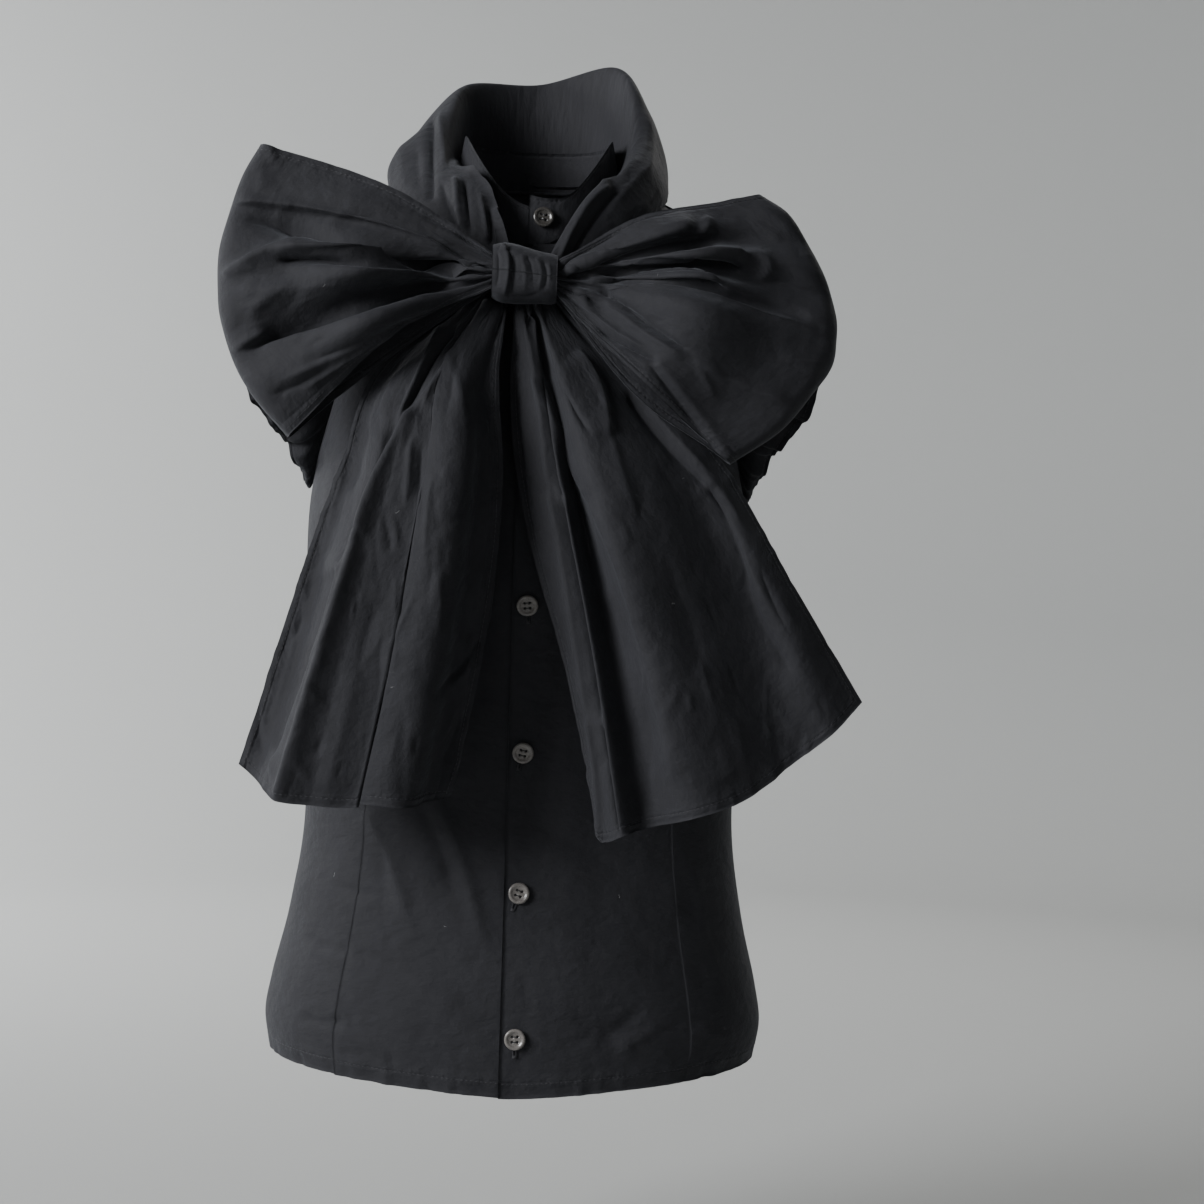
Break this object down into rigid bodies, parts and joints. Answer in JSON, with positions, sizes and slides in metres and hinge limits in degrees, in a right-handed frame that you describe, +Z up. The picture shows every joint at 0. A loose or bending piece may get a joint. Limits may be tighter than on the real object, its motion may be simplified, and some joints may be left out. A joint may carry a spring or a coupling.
{
  "type": "tie neck blouse",
  "caption": "Fitted sleeveless-look blouse with cap sleeves, a stand neckband, a button front and a wide scarf collar tied in a large front bow; an empty worn shell.",
  "frame": {"origin": "middle of the neck at the height where shoulder and neck meet, where the wearer's neck stands", "axes": "+X to the wearer's left, -Y to the front, +Z up"},
  "size_m": [0.3931, 0.2539, 0.6657],
  "materials": {
    "poplin": "matt cotton poplin",
    "tie_poplin": "matt cotton poplin",
    "shell_button": "polished"
  },
  "bodies": {
    "root": {"front_left_centre": "poplin", "front_right_centre": "poplin", "front_left_side": "poplin", "front_right_side": "poplin", "back_left": "poplin", "back_right": "poplin", "neckband": "poplin", "sleeve_left": "poplin", "sleeve_right": "poplin", "tie_collar": "tie_poplin", "loop_left": "tie_poplin", "loop_right": "tie_poplin", "tail_left": "tie_poplin", "tail_right": "tie_poplin", "knot": "tie_poplin", "button_1": "shell_button", "button_2": "shell_button", "button_3": "shell_button", "button_4": "shell_button", "button_5": "shell_button", "button_6": "shell_button", "button_7": "shell_button"}
  },
  "joints": []
}
